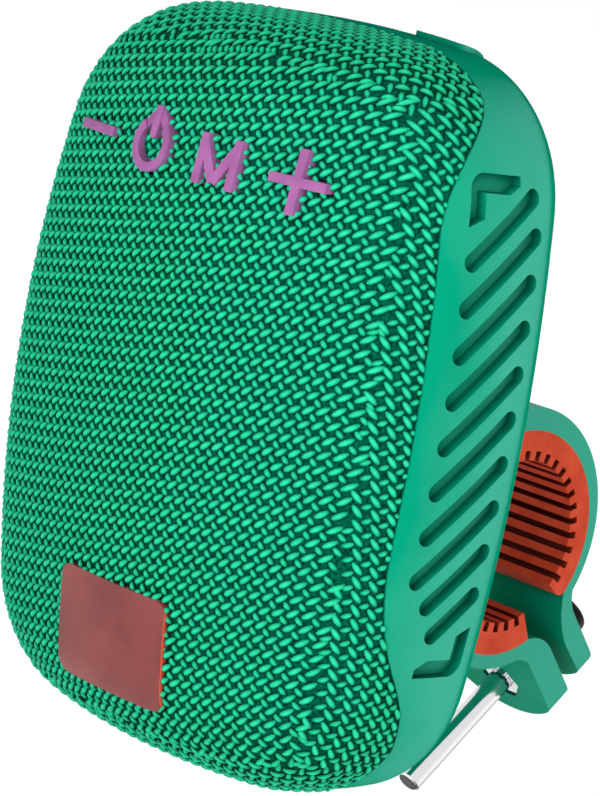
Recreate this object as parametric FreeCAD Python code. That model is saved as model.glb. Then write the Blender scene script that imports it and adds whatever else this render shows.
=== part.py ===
import FreeCAD, Part
import math
import os

V = FreeCAD.Vector

# A portable speaker on a handlebar clamp, in millimetres. X is to the right of someone who faces the
# speaker, Z is up, and the speaker looks along -Y. The model is built with y = 0 on the speaker's flat
# back and z = 0 at its mid height, and each piece is moved at the end so that the origin lies on the
# handlebar's axis.

# ---- driving dimensions ----

# speaker body
body_width = 84.0
body_height = 110.0
body_depth = 38.2
side_radius = 285.0  # bow of the two long sides, seen from the front
top_radius = 235.0  # bow of the top and bottom
corner_radius = 22.5
front_radius_x = 94.0  # crown of the front, across
front_radius_z = 252.0  # crown of the front, up and down
bulge_radius = 81.0  # bow of the sides from front to back
bulge_y = -7.8  # where the body is widest
front_edge_radius = 17.0
rear_edge_radius = 5.0

# walls
fabric_thickness = 1.2
frame_wall = 2.2
housing_wall = 2.6
seal_width = 0.8

# line where the fabric meets the housing, seen from the side
parting_upper_y = -13.0  # above the upper sweep
parting_front_y = -23.4  # along the middle of the sides
parting_knee_y = -14.2  # where the lower sweep runs out into a slanting line
parting_lower_y = -12.4  # below that line
upper_sweep_top = 4.5  # below the body's top
upper_sweep_length = 20.5
lower_sweep_top = 45.0  # above the body's bottom
lower_sweep_length = 28.0
lower_slant_length = 5.0

# grooves of the sides
groove_count = 10
groove_pitch = 6.34
groove_run = 11.45  # from front end to back end
groove_rise = 10.3
groove_width = 2.7
groove_depth = 1.7
groove_front_y = -18.25
groove_centre_z = 4.1  # middle of the whole row
# taken off a groove's front and back end, by its number from the top
groove_trims = {0: (0.0, 1.2), 8: (2.9, 0.0), 9: (5.2, 0.0)}

# angular recesses above and below the grooves
recess_width = 2.6
recess_height = 7.4
recess_length = 9.1
recess_corner = 2.35
recess_front_y = -19.5
recess_offset_z = 35.4  # from the row's middle to the outer line

# lug on the top rear edge
lug_width = 11.0
lug_x = 15.5
lug_length = 5.4
lug_height = 0.75
lug_setback = 1.2
lug_corner = 2.0

# keys
key_pitch = 13.9
key_row_drop = 21.2  # from the body's top to the middle of the keys
key_proud = 1.2
key_stroke = 1.35
key_gap = 0.3  # behind the flange
key_window_gap = 0.15  # round each symbol
key_flange_radius = 5.4
key_flange = 1.0
key_travel = 0.6
key_post_radius = 1.5
key_board_post = 1.4
key_board_half = 2.5
key_board_depth = 9.0  # behind the frame
minus_length = 9.1
plus_size = 9.1
power_radius = 4.0
power_rise = 5.0
power_opening = math.radians(40.0)  # to each side of the ring's top
power_stem_end = 0.8
power_web_drop = 0.35
power_pad_inset = 0.3  # the pad inside the ring, below the fabric's surface
mode_width = 7.7
mode_height = 7.1

# badge
badge_width = 22.4
badge_height = 16.5
badge_x = 0.8
badge_rise = 18.8  # from the body's bottom to the badge's middle
badge_corner = 2.0
badge_proud = 0.8

# driver
driver_z = 2.0
driver_radius = 27.0
driver_opening = 21.5
driver_seat_y = -29.5
gasket_thickness = 0.6
flange_thickness = 1.2
basket_depth = 8.5
basket_wall = 1.0
magnet_radius = 13.0
magnet_depth = 8.0
cone_travel = 1.2
cone_wall = 0.5
coil_radius = 7.0
surround_width = 3.6
cap_rise = 2.6
cap_wall = 0.4
grille_bars = 7
grille_slot = 3.2
grille_pitch = 5.4

# electronics
board_thickness = 1.2
battery_width = 34.0
battery_height = 42.0
battery_depth = 7.0
battery_z = 24.0
main_board_width = 44.0
main_board_height = 46.0
main_board_y = -9.6
switch_height = 1.1
switch_half = 2.2
port_width = 9.0
port_thickness = 3.2
port_depth = 7.4
port_cover_length = 15.0
port_cover_width = 5.6
port_cover_thickness = 1.2
clearance = 0.3

# screws
housing_screw_x = 27.0
housing_screw_z = 40.0
screw_radius = 1.25
screw_head_radius = 2.6
screw_head_height = 1.6
boss_radius = 3.2
boss_joint_y = -11.0
driver_screw_radius = 1.0
driver_screw_head = 1.9
driver_screw_head_height = 1.2
cross_width = 0.7
housing_screw_length = 16.0
driver_screw_length = 5.0

# clamp: the handlebar
bar_y = 38.25
bar_z = -22.2
bore_radius = 12.8
clamp_width = 19.0

# clamp: lower jaw, part of the clamp base
lower_seat_y = 38.2
lower_seat_z = -23.25
lower_seat_radius = 17.0
lower_wall = 2.35
lower_liner_start = -63.0
lower_liner_end = -206.0

# clamp: upper jaw
upper_seat_y = 38.3
upper_seat_z = -21.1
upper_seat_radius = 17.5
upper_outer_y = 37.1
upper_outer_z = -20.35
upper_outer_radius = 20.55
upper_liner_start = -36.0
upper_liner_end = 116.0
upper_bore_y = 38.4
upper_bore_z = -21.55
upper_bore_radius = 13.05

# liner ribs
rib_pitch = 10.0
rib_share = 0.56
rib_depth = 1.55
liner_tip = 1.5

# hinge
hinge_y = 23.6
hinge_z = -6.0
barrel_radius = 3.2
pin_radius = 1.5
pin_fit = 0.05
knuckle_half = 4.4
knuckle_gap = 0.3

# tabs and bolt; the bolt leans back by bolt_lean from the Y axis
tab_y = 53.5  # a point on the lower tab's outer face, from which the tabs are measured
tab_z = -48.7
bolt_inset = 0.65  # the bolt's axis lies this much nearer the handlebar
bolt_lean = 42.0
lower_tab = 5.05
tab_gap = 2.95
upper_tab = 4.4
lower_tab_reach = 6.5
upper_tab_reach = 5.3
tab_end_radius = 14.3
tab_corner = 2.0
tab_edge = 0.8
bolt_radius = 2.0
bolt_fit = 0.05
bolt_hole_gap = 0.25
bolt_below = 24.4
bolt_head_radius = 4.4
bolt_head_height = 4.6
bolt_head_gap = 0.45
bolt_socket_flats = 3.0
slot_outward = 1.8  # how far the bolt wanders outward in its slot as the jaw opens
nut_flats = 6.5
nut_height = 3.0
nut_recess = 3.3

# clamp base
foot_width = 34.0
foot_top = -2.5
foot_bottom = -42.0
foot_thickness = 4.0
foot_screw_x = 12.8
foot_screw_inset = 5.0
foot_screw_length = 9.0

# planes that tools run between: well ahead of the front, and half way back
front_y = -body_depth - 5
middle_y = -body_depth / 2
side_starts = (-body_width, body_width * 0.3)
side_reach = body_width * 0.7

# worked out: front and keys
frame_inset = fabric_thickness
frame_inner = fabric_thickness + frame_wall
key_row_z = body_height / 2 - key_row_drop
key_flange_inset = frame_inner + key_gap
key_board_y = -body_depth + frame_inner + key_board_depth
key_board_post_x = 1.5 * key_pitch + key_flange_radius + key_board_post + 0.2
key_post_end = key_board_y - switch_height - key_travel - key_gap

# worked out: driver
flange_y = driver_seat_y + gasket_thickness
basket_back_y = flange_y + basket_depth
cone_edge_radius = driver_opening - clearance - surround_width
cap_edge_y = basket_back_y - 3.0

# worked out: clamp
half_clamp = clamp_width / 2
lean = math.radians(bolt_lean)
bolt_way = V(0, math.cos(lean), math.sin(lean))
tab_way = V(0, math.sin(lean), -math.cos(lean))
tab_foot = V(0, tab_y, tab_z)
bolt_foot = tab_foot - tab_way * bolt_inset
head_seat = lower_tab + tab_gap + upper_tab + bolt_head_gap
lower_centre = (lower_seat_y, lower_seat_z)
upper_centre = (upper_seat_y, upper_seat_z)
bar_centre = (bar_y, bar_z)

# ---- small helpers ----


def box(x0, x1, y0, y1, z0, z1):
    return Part.makeBox(x1 - x0, y1 - y0, z1 - z0, V(x0, y0, z0))


def rod(radius, start, end):
    return Part.makeCylinder(radius, (end - start).Length, start, end - start)


def rod_y(radius, x, z, y0, y1):
    return rod(radius, V(x, y0, z), V(x, y1, z))


def rod_x(radius, y, z, x0, x1):
    return rod(radius, V(x0, y, z), V(x1, y, z))


def edges_through(start, steps, place):
    """Lines and arcs from start: a step is (end,) for a line or (middle, end) for an arc."""
    edges = []
    here = place(start)
    for step in steps:
        there = place(step[-1])
        if len(step) == 1:
            edges.append(Part.LineSegment(here, there).toShape())
        else:
            edges.append(Part.Arc(here, place(step[0]), there).toShape())
        here = there
    return edges


def prism_x(x0, x1, start, *steps):
    """Extrude a closed outline of (y, z) points from x0 to x1."""
    edges = edges_through(start, steps, lambda p: V(x0, p[0], p[1]))
    return Part.Face(Part.Wire(edges)).extrude(V(x1 - x0, 0, 0))


def prism_y(y0, y1, start, *steps):
    """Extrude a closed outline of (x, z) points from y0 to y1."""
    edges = edges_through(start, steps, lambda p: V(p[0], y0, p[1]))
    return Part.Face(Part.Wire(edges)).extrude(V(0, y1 - y0, 0))


def fuse(shapes):
    whole = shapes[0].multiFuse(shapes[1:]) if len(shapes) > 1 else shapes[0]
    return whole.removeSplitter()


def polar(y, z, radius, degrees):
    a = math.radians(degrees)
    return (y + radius * math.cos(a), z + radius * math.sin(a))


# ---- body envelope ----


def outline(inset, y):
    """Front outline of the body as eight tangent arcs, moved in by inset, in the plane y."""
    rs, rt, rc = side_radius - inset, top_radius - inset, corner_radius - inset
    side_x = body_width / 2 - inset - rs
    top_z = body_height / 2 - inset - rt
    ra, rb = rs - rc, rt - rc
    d = math.hypot(side_x, top_z)
    along = (ra * ra - rb * rb + d * d) / (2 * d)
    across = math.sqrt(ra * ra - along * along)
    ux, uz = -side_x / d, top_z / d
    px, pz = side_x + along * ux, along * uz
    corner = max((px + across * uz, pz - across * ux), (px - across * uz, pz + across * ux), key=sum)
    t1 = math.atan2(corner[1], corner[0] - side_x)
    t2 = math.atan2(corner[1] - top_z, corner[0])

    def at(cx, cz, r, t, sx=1, sz=1):
        return V(sx * (cx + r * math.cos(t)), y, sz * (cz + r * math.sin(t)))

    def corner_arc(sx, sz):
        return [at(corner[0], corner[1], rc, t, sx, sz) for t in (t1, (t1 + t2) / 2, t2)]

    def side_arc(sx):
        return [at(side_x, 0, rs, t, sx) for t in (-t1, 0, t1)]

    def top_arc(sz):
        return [at(0, top_z, rt, t, 1, sz) for t in (t2, math.pi / 2, math.pi - t2)]

    arcs = [side_arc(1), corner_arc(1, 1), top_arc(1), corner_arc(-1, 1)[::-1]]
    arcs += [side_arc(-1)[::-1], corner_arc(-1, -1), top_arc(-1)[::-1], corner_arc(1, -1)[::-1]]
    return Part.Wire([Part.Arc(*a).toShape() for a in arcs])


def crowned_block(inset):
    """Everything behind the crowned front: an arc across the front, swung about a far axis."""
    r = front_radius_x - inset
    front = -body_depth + inset
    x1 = body_width * 0.6
    y1 = front + r - math.sqrt(r * r - x1 * x1)
    mid_arc = Part.Arc(V(-x1, y1, 0), V(0, front, 0), V(x1, y1, 0)).toShape()
    corners = [V(x1, y1, 0), V(x1, 6, 0), V(-x1, 6, 0), V(-x1, y1, 0)]
    lines = [Part.LineSegment(a, b).toShape() for a, b in zip(corners, corners[1:])]
    face = Part.Face(Part.Wire([mid_arc] + lines))
    axis = V(0, -body_depth + front_radius_z, 0)
    face.rotate(axis, V(1, 0, 0), -20)
    return face.revolve(axis, V(1, 0, 0), 40)


envelopes = {}


def envelope(inset):
    """The body's outer form moved in by inset."""
    if inset not in envelopes:
        wires = []
        for y in (-42, -32, -24, -16, -8, 0):
            plane = min(y, -inset)
            bow = bulge_radius - math.sqrt(bulge_radius**2 - (plane - bulge_y) ** 2)
            wires.append(outline(inset + bow, plane))
        block = Part.makeLoft(wires, True, False).common(crowned_block(inset)).Solids[0]
        crown = [f for f in block.Faces if f.Surface.TypeId == "Part::GeomToroid"]
        block = block.makeFillet(front_edge_radius - inset, [e for f in crown for e in f.Edges])
        back = [f for f in block.Faces if f.BoundBox.YLength < 1e-3 and f.BoundBox.YMin > -body_depth / 2]
        block = block.makeFillet(max(rear_edge_radius - inset, 0.5), [e for f in back for e in f.Edges])
        envelopes[inset] = block
    return envelopes[inset]


def shell(outer, inner):
    return envelope(outer).cut(envelope(inner))


def side_curve(*poles):
    """A Bezier edge in the YZ plane, well to the left of the body."""
    curve = Part.BezierCurve()
    curve.setPoles([V(-body_width, y, z) for y, z in poles])
    return curve.toShape()


def front_zone(shift=0.0):
    """Everything in front of the parting line, which is moved back by shift."""
    upper, front = parting_upper_y + shift, parting_front_y + shift
    knee, lower = parting_knee_y + shift, parting_lower_y + shift
    far, over = front_y - 5, body_height
    z1 = body_height / 2 - upper_sweep_top
    z2 = z1 - upper_sweep_length
    z3 = lower_sweep_top - body_height / 2
    z4 = z3 - lower_sweep_length
    z5 = z4 - lower_slant_length
    slant = V(0, lower - knee, z5 - z4).normalize() * lower_sweep_length * 0.29
    corners = [(knee, z4), (lower, z5), (lower, -over), (far, -over)]
    corners += [(far, over), (upper, over), (upper, z1)]
    points = [V(-body_width, y, z) for y, z in corners]
    edges = [Part.LineSegment(a, b).toShape() for a, b in zip(points, points[1:])]
    soft = [(upper, z1 - upper_sweep_length * 0.25), (front, z2 + upper_sweep_length * 0.6)]
    edges.append(side_curve((upper, z1), *soft, (front, z2)))
    edges.append(side_curve((front, z2), (front, z3)))
    soft = [(front, z3 - lower_sweep_length * 0.66), (knee - slant.y, z4 - slant.z)]
    edges.append(side_curve((front, z3), *soft, (knee, z4)))
    return Part.Face(Part.Wire(edges)).extrude(V(2 * body_width, 0, 0))


# ---- keys ----


def bar_between(x0, z0, x1, z1, width, grow):
    """A flat-ended stroke seen from the front, as a prism along Y."""
    length = math.hypot(x1 - x0, z1 - z0)
    ux, uz = (x1 - x0) / length, (z1 - z0) / length
    h = width / 2 + grow
    ax, az = x0 - ux * grow, z0 - uz * grow
    bx, bz = x1 + ux * grow, z1 + uz * grow
    a, b = (ax - uz * h, az + ux * h), (bx - uz * h, bz + ux * h)
    c, d = (bx + uz * h, bz - ux * h), (ax + uz * h, az - ux * h)
    return prism_y(front_y, middle_y, a, (b,), (c,), (d,), (a,))


def minus_sign(grow):
    half = minus_length / 2
    return bar_between(-half, 0, half, 0, key_stroke, grow)


def plus_sign(grow):
    half = plus_size / 2
    flat = bar_between(-half, 0, half, 0, key_stroke, grow)
    tall = bar_between(0, -half, 0, half, key_stroke, grow)
    return fuse([flat, tall])


def power_ring(grow):
    """The sign's ring, open at the top."""
    r = power_radius
    inner = rod_y(r - key_stroke - grow, 0, 0, front_y, middle_y)
    ring = rod_y(r + grow, 0, 0, front_y, middle_y).cut(inner)
    wide, high = 2 * r * math.sin(power_opening), 2 * r * math.cos(power_opening)
    wedge = prism_y(front_y, middle_y, (0, 0), ((-wide, high),), ((wide, high),), ((0, 0),))
    return ring.cut(wedge)


def power_stem(grow):
    low = power_stem_end + key_stroke / 2
    bar = bar_between(0, power_rise + key_stroke / 3, 0, low, key_stroke, grow)
    return fuse([bar, rod_y(key_stroke / 2 + grow, 0, low, front_y, middle_y)])


def power_webs(grow):
    """The two slanting webs that join the ring's ends to the stem."""
    reach = power_radius - key_stroke / 2
    foot = (reach * 0.77, reach * 0.64)
    left = bar_between(-foot[0], foot[1], 0, power_rise, key_stroke, grow)
    right = bar_between(foot[0], foot[1], 0, power_rise, key_stroke, grow)
    return fuse([left, right])


def power_sign(grow):
    return fuse([power_ring(grow), power_stem(grow), power_webs(grow)])


def power_window():
    """The sign's whole outline, because the cloth inside its ring is carried by the key."""
    disc = rod_y(power_radius + key_window_gap, 0, 0, front_y, middle_y)
    return fuse([disc, power_webs(key_window_gap), power_stem(key_window_gap)])


def mode_sign(grow):
    x = mode_width / 2 - key_stroke / 2
    z = mode_height / 2
    left = bar_between(-x, -z, -x, z, key_stroke, grow)
    right = bar_between(x, -z, x, z, key_stroke, grow)
    dip = -z + key_stroke * 0.55
    down = bar_between(-x, z - key_stroke * 0.8, 0, dip, key_stroke * 1.1, grow)
    up = bar_between(x, z - key_stroke * 0.8, 0, dip, key_stroke * 1.1, grow)
    level = box(-body_width, body_width, front_y, middle_y, -z - grow, z + grow)
    return fuse([left, right, down, up]).common(level).removeSplitter()


key_table = (
    ("key_minus", -1.5, minus_sign),
    ("key_power", -0.5, power_sign),
    ("key_mode", 0.5, mode_sign),
    ("key_plus", 1.5, plus_sign),
)


def key_piece(slot, sign):
    """A raised symbol on a curved flange behind the frame, with a post towards its switch."""
    forms = [sign(0.0).common(envelope_at(slot, -key_proud))]
    if sign is power_sign:
        webs = power_webs(0.0).cut(power_ring(0.0)).cut(power_stem(0.0))
        high = webs.cut(envelope_at(slot, power_web_drop - key_proud))
        pad = rod_y(power_radius - key_stroke / 2, 0, 0, front_y, middle_y)
        forms = [forms[0].cut(high), pad.common(envelope_at(slot, power_pad_inset))]
    symbol = fuse(forms)
    x = slot * key_pitch
    symbol.translate(V(x, 0, key_row_z))
    symbol = symbol.cut(envelope(key_flange_inset + key_flange / 2))
    plate = rod_y(key_flange_radius, x, key_row_z, front_y, middle_y)
    plate = plate.common(shell(key_flange_inset, key_flange_inset + key_flange))
    post = rod_y(key_post_radius, x, key_row_z, -body_depth, key_post_end)
    post = post.common(envelope(key_flange_inset + key_flange / 2))
    return fuse([symbol, plate, post])


def envelope_at(slot, inset):
    """The body's envelope as a key in that slot sees it, with the key at the origin."""
    return envelope(inset).translated(V(-slot * key_pitch, 0, -key_row_z))


def key_windows():
    cuts = []
    for _, slot, sign in key_table:
        window = power_window() if sign is power_sign else sign(key_window_gap)
        window.translate(V(slot * key_pitch, 0, key_row_z))
        cuts.append(window)
    return cuts


# ---- front ----


def badge_outline(grow):
    w, h, r = badge_width / 2 + grow, badge_height / 2 + grow, badge_corner + grow
    z = -body_height / 2 + badge_rise
    block = box(badge_x - w, badge_x + w, front_y, middle_y, z - h, z + h)
    along = [e for e in block.Edges if abs(e.Vertexes[0].Y - e.Vertexes[1].Y) > 1]
    return block.makeFillet(r, along)


def make_badge():
    block = badge_outline(0.0)
    return block.common(shell(-badge_proud, fabric_thickness)).Solids[0]


def make_fabric():
    skin = shell(0.0, fabric_thickness).common(front_zone())
    cuts = key_windows() + [badge_outline(0.05)]
    for cut in cuts:
        skin = skin.cut(cut)
    return skin.Solids[0]


def boss_places():
    return [(sx * housing_screw_x, sz * housing_screw_z) for sx in (-1, 1) for sz in (-1, 1)]


def make_front_frame():
    skin = shell(frame_inset, frame_inner).common(front_zone())
    inside = envelope(frame_inset + frame_wall / 2)
    seat = rod_y(driver_radius, 0, driver_z, -body_depth, driver_seat_y)
    seat = seat.cut(rod_y(driver_opening, 0, driver_z, -body_depth - 1, 0)).common(inside)
    parts = [skin, seat]
    for x, z in boss_places():
        parts.append(rod_y(boss_radius, x, z, -body_depth, boss_joint_y).common(inside))
    for sx in (-1, 1):
        post = rod_y(key_board_post, sx * key_board_post_x, key_row_z, -body_depth, key_board_y)
        parts.append(post.common(inside))
    frame = fuse(parts)
    for cut in key_windows() + grille_slots():
        frame = frame.cut(cut)
    for x, z in boss_places():
        frame = frame.cut(rod_y(screw_radius, x, z, boss_joint_y - housing_screw_length * 0.6, 0))
    for x, z in driver_screw_places():
        frame = frame.cut(rod_y(driver_screw_radius, x, z, driver_seat_y - 3.2, driver_seat_y + 1))
    return frame.Solids[0]


def grille_slots():
    """Level slots in front of the driver, as long as the circle allows."""
    cuts = []
    reach = driver_opening - 1.5
    for i in range(grille_bars):
        dz = (i - (grille_bars - 1) / 2) * grille_pitch
        half = math.sqrt(reach**2 - dz**2) - grille_slot / 2
        r = grille_slot / 2
        z = driver_z + dz
        a, b = (-half, z + r), (half, z + r)
        c, d = (half, z - r), (-half, z - r)
        right, left = (half + r, z), (-half - r, z)
        cuts.append(prism_y(front_y, driver_seat_y + 0.5, a, (b,), (right, c), (d,), (left, a)))
    return cuts


# ---- rear housing ----


def groove_tools():
    """Slanted, round-ended grooves, mirrored on both sides; only their outer skin is cut."""
    tools = []
    slope = groove_rise / groove_run
    length = math.hypot(1.0, slope)
    r = groove_width / 2
    ry, rz = r / length, r * slope / length
    for k in range(groove_count):
        off_front, off_back = groove_trims.get(k, (0.0, 0.0))
        middle = groove_centre_z + (groove_count - 1 - 2 * k) / 2 * groove_pitch
        y0, y1 = groove_front_y + off_front, groove_front_y + groove_run - off_back
        z0 = middle - groove_rise / 2 + off_front * slope
        z1 = middle + groove_rise / 2 - off_back * slope
        a, b = (y0 - rz, z0 + ry), (y1 - rz, z1 + ry)
        c, d = (y1 + rz, z1 - ry), (y0 + rz, z0 - ry)
        tip, tail = (y1 + ry, z1 + rz), (y0 - ry, z0 - rz)
        for x in side_starts:
            tools.append(prism_x(x, x + side_reach, a, (b,), (tip, c), (d,), (tail, a)))
    return tools


def recess_tools():
    """Angular recesses: a level arm and an upright arm, ends cut aslant."""
    y0, y1 = recess_front_y, recess_front_y + recess_length
    z1 = recess_offset_z
    z0 = z1 - recess_height
    w, r = recess_width, recess_corner
    bend = (y0 + r * 0.29, z1 - r * 0.29)
    steps = [((y0 + w, z0 + w / 2),), ((y0 + w, z1 - w),), ((y1 - w * 0.8, z1 - w),)]
    steps += [((y1, z1 - w / 2),), ((y1, z1),), ((y0 + r, z1),), (bend, (y0, z1 - r)), ((y0, z0),)]
    middle = groove_front_y + groove_run / 2
    tools = []
    for x in side_starts:
        upper = prism_x(x, x + side_reach, (y0, z0), *steps)
        lower = upper.copy()
        lower.rotate(V(0, middle, 0), V(1, 0, 0), 180)
        for tool in (upper, lower):
            tool.translate(V(0, 0, groove_centre_z))
            tools.append(tool)
    return tools


def make_lug():
    """A low pad with round corners that follows the body's top near its rear edge."""
    half, rear, top = lug_width / 2, -lug_setback, body_height / 2
    block = box(lug_x - half, lug_x + half, rear - lug_length, rear, top - 6, top + 3)
    block = block.makeFillet(lug_corner, [e for e in block.Edges if e.BoundBox.ZLength > 5])
    return block.common(envelope(-lug_height)).cut(envelope(housing_wall / 2))


def port_place():
    """Middle of the charging port on the underside: y, and the height of the outer surface."""
    return -7.0, -body_height / 2


def make_rear_housing():
    skin = shell(0.0, housing_wall).cut(front_zone())
    rabbet = shell(fabric_thickness, housing_wall + 1).common(front_zone(seal_width))
    keep = envelope(groove_depth)
    parts = [skin.cut(rabbet), make_lug()]
    inside = envelope(housing_wall / 2)
    for x, z in boss_places():
        parts.append(rod_y(boss_radius, x, z, boss_joint_y + clearance, 0).common(inside))
    for x, z in foot_screw_places():
        parts.append(rod_y(boss_radius, x, z, main_board_y + board_thickness, 0).common(inside))
    housing = fuse(parts)
    for tool in groove_tools() + recess_tools():
        housing = housing.cut(tool.cut(keep))
    for x, z in boss_places():
        housing = housing.cut(rod_y(screw_radius + 0.25, x, z, boss_joint_y - 1, 1))
        housing = housing.cut(rod_y(screw_head_radius + 0.3, x, z, -screw_head_height - 0.4, 1))
    for x, z in foot_screw_places():
        housing = housing.cut(rod_y(screw_radius, x, z, -5.4, 1))
    y, z = port_place()
    half_y = port_thickness / 2 + clearance
    half_x = port_width / 2 + clearance
    housing = housing.cut(box(-half_x, half_x, y - half_y, y + half_y, z - 5, z + 6))
    housing = housing.cut(port_recess(clearance, port_cover_thickness + clearance))
    return housing.Solids[0]


def port_recess(gap, deep):
    y, z = port_place()
    half = port_cover_length / 2
    wide = port_cover_width / 2
    return box(-half - gap, half + gap, y - wide - gap, y + wide + gap, z - 5, z + deep)


def make_port_cover():
    cover = port_recess(0.0, port_cover_thickness).common(envelope(0.0))
    y, z = port_place()
    plug = box(-2.6, 2.6, y - 1.0, y + 1.0, z + port_cover_thickness - 0.3, z + port_cover_thickness + 0.9)
    return fuse([cover, plug])


def make_seal():
    band = shell(fabric_thickness, housing_wall).common(front_zone(seal_width))
    return band.cut(front_zone()).Solids[0]


# ---- driver ----


def spun(points):
    """Revolve a closed (radius, y) outline about the driver's axis."""
    place = [V(r, y, 0) for r, y in points]
    edges = [Part.LineSegment(a, b).toShape() for a, b in zip(place, place[1:] + place[:1])]
    face = Part.Face(Part.Wire(edges))
    solid = face.revolve(V(0, 0, 0), V(0, 1, 0), 360)
    solid.translate(V(0, 0, driver_z))
    return solid


def driver_screw_places():
    r = (driver_radius + driver_opening + basket_wall) / 2
    places = []
    for k in range(4):
        a = math.radians(45 + 90 * k)
        places.append((r * math.cos(a), driver_z + r * math.sin(a)))
    return places


def make_gasket():
    ring = rod_y(driver_radius, 0, driver_z, driver_seat_y, flange_y)
    ring = ring.cut(rod_y(driver_opening, 0, driver_z, driver_seat_y - 1, flange_y + 1))
    for x, z in driver_screw_places():
        ring = ring.cut(rod_y(screw_radius, x, z, driver_seat_y - 1, flange_y + 1))
    return ring


def make_basket():
    f, w = flange_thickness, basket_wall
    neck = magnet_radius - 1.0
    deep = basket_back_y
    throat = flange_y + cone_travel + 1.0
    pts = [(driver_opening, flange_y), (driver_radius, flange_y), (driver_radius, flange_y + f)]
    pts += [(driver_opening + w, flange_y + f), (driver_opening + w, throat)]
    pts += [(neck + w, deep), (coil_radius + 1.6, deep), (coil_radius + 1.6, deep - w), (neck, deep - w)]
    pts += [(driver_opening, throat)]
    basket = spun(pts)
    for x, z in driver_screw_places():
        basket = basket.cut(rod_y(driver_screw_radius + clearance, x, z, flange_y - 1, flange_y + f + 1))
    window = box(-3.6, 3.6, flange_y + f + 1.2, deep - w - 1.2, driver_z, driver_z + driver_radius)
    for k in range(6):
        hole = window.copy()
        hole.rotate(V(0, 0, driver_z), V(0, 1, 0), 60 * k)
        basket = basket.cut(hole)
    return basket


def make_magnet():
    back = basket_back_y + magnet_depth
    gap_out, gap_in = coil_radius + 0.8, coil_radius - 0.8
    pts = [(gap_out, basket_back_y), (magnet_radius, basket_back_y), (magnet_radius, back), (0, back)]
    pts += [(0, basket_back_y), (gap_in, basket_back_y), (gap_in, back - 2.5), (gap_out, back - 2.5)]
    return spun(pts)


def make_cone():
    y0 = flange_y - clearance
    y1 = cap_edge_y
    w = cone_wall
    r0, r1 = cone_edge_radius, coil_radius
    coil_end = basket_back_y + magnet_depth - 2.5 - cone_travel - 0.6
    pts = [(r0, y0), (r0, y0 + w), (r1 + 0.3, y1 + w), (r1 + 0.3, coil_end), (r1 - 0.3, coil_end)]
    pts += [(r1 - 0.3, y1)]
    return spun(pts)


def make_surround():
    """Half-round roll between the cone's edge and the basket."""
    r0, r1 = cone_edge_radius, driver_opening - clearance
    mid = (r0 + r1) / 2
    half = (r1 - r0) / 2
    y0 = flange_y - clearance
    w = 0.5
    edges = [
        Part.Arc(V(r0, y0, 0), V(mid, y0 - half, 0), V(r1, y0, 0)).toShape(),
        Part.LineSegment(V(r1, y0, 0), V(r1 - w, y0, 0)).toShape(),
        Part.Arc(V(r1 - w, y0, 0), V(mid, y0 - half + w, 0), V(r0 + w, y0, 0)).toShape(),
        Part.LineSegment(V(r0 + w, y0, 0), V(r0, y0, 0)).toShape(),
    ]
    solid = Part.Face(Part.Wire(edges)).revolve(V(0, 0, 0), V(0, 1, 0), 360)
    solid.translate(V(0, 0, driver_z))
    return solid


def make_dust_cap():
    """Shallow dome over the coil, seated on the cone."""
    r = coil_radius - 0.3
    y0 = cap_edge_y
    sphere_radius = (r * r + cap_rise * cap_rise) / (2 * cap_rise)
    centre = V(0, y0 - cap_rise + sphere_radius, driver_z)
    cap = Part.makeSphere(sphere_radius, centre).cut(Part.makeSphere(sphere_radius - cap_wall, centre))
    return cap.common(rod_y(r, 0, driver_z, y0 - 2 * cap_rise, y0)).Solids[0]


# ---- electronics ----


def make_key_board():
    half = key_board_post_x + key_board_post
    low, high = key_row_z - key_board_half, key_row_z + key_board_half
    return box(-half, half, key_board_y, key_board_y + board_thickness, low, high)


def make_switches():
    solids = []
    w = switch_half
    y0, y1 = key_board_y - switch_height, key_board_y
    for _, slot, _ in key_table:
        x = slot * key_pitch
        solids.append(box(x - w, x + w, y0, y1, key_row_z - w, key_row_z + w))
    return Part.makeCompound(solids)


def make_battery():
    half_x, half_z = battery_width / 2, battery_height / 2
    y1 = -housing_wall
    block = box(-half_x, half_x, y1 - battery_depth, y1, battery_z - half_z, battery_z + half_z)
    return block.makeFillet(1.5, [e for e in block.Edges if e.BoundBox.ZLength > 3])


def make_main_board():
    half = main_board_width / 2
    z0 = port_place()[1] + housing_wall + 3.0
    y0 = main_board_y
    board = box(-half, half, y0, y0 + board_thickness, z0, z0 + main_board_height)
    for x, z in boss_places():
        board = board.cut(rod_y(boss_radius + clearance, x, z, y0 - 1, y0 + board_thickness + 1))
    return board


def make_port_socket():
    y, z = port_place()
    z0 = z + port_cover_thickness + 1.6
    x = port_width / 2
    y0 = main_board_y + board_thickness
    y1 = y0 + port_thickness
    block = box(-x, x, y0, y1, z0, z0 + port_depth)
    block = block.makeFillet(1.4, [e for e in block.Edges if e.BoundBox.ZLength > 3])
    cavity = box(-x + 0.4, x - 0.4, y0 + 0.4, y1 - 0.4, z0 - 1, z0 + port_depth - 1)
    tongue = box(-x + 1.4, x - 1.4, (y0 + y1) / 2 - 0.35, (y0 + y1) / 2 + 0.35, z0 + 0.8, z0 + port_depth)
    return block.cut(cavity).fuse(tongue).removeSplitter()


# ---- screws ----


def screw_y(x, z, head_y, length, radius, head_radius, head_height, way):
    """A pan-head screw along Y: head_y is under the head, and way is where its shank goes."""
    head = rod_y(head_radius, x, z, head_y, head_y - way * head_height)
    rim = [e for e in head.Edges if abs(e.BoundBox.YMin - (head_y - way * head_height)) < 1e-6]
    head = head.makeFillet(head_height * 0.35, [e for e in rim if e.BoundBox.YLength < 1e-6])
    w, arm = cross_width / 2, head_radius * 0.55
    cross = box(-w, w, -1, 1, -arm, arm).fuse(box(-arm, arm, -1, 1, -w, w))
    cross.translate(V(x, head_y - way * (head_height + 0.3), z))
    return fuse([head, rod_y(radius, x, z, head_y, head_y + way * length)]).cut(cross)


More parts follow.
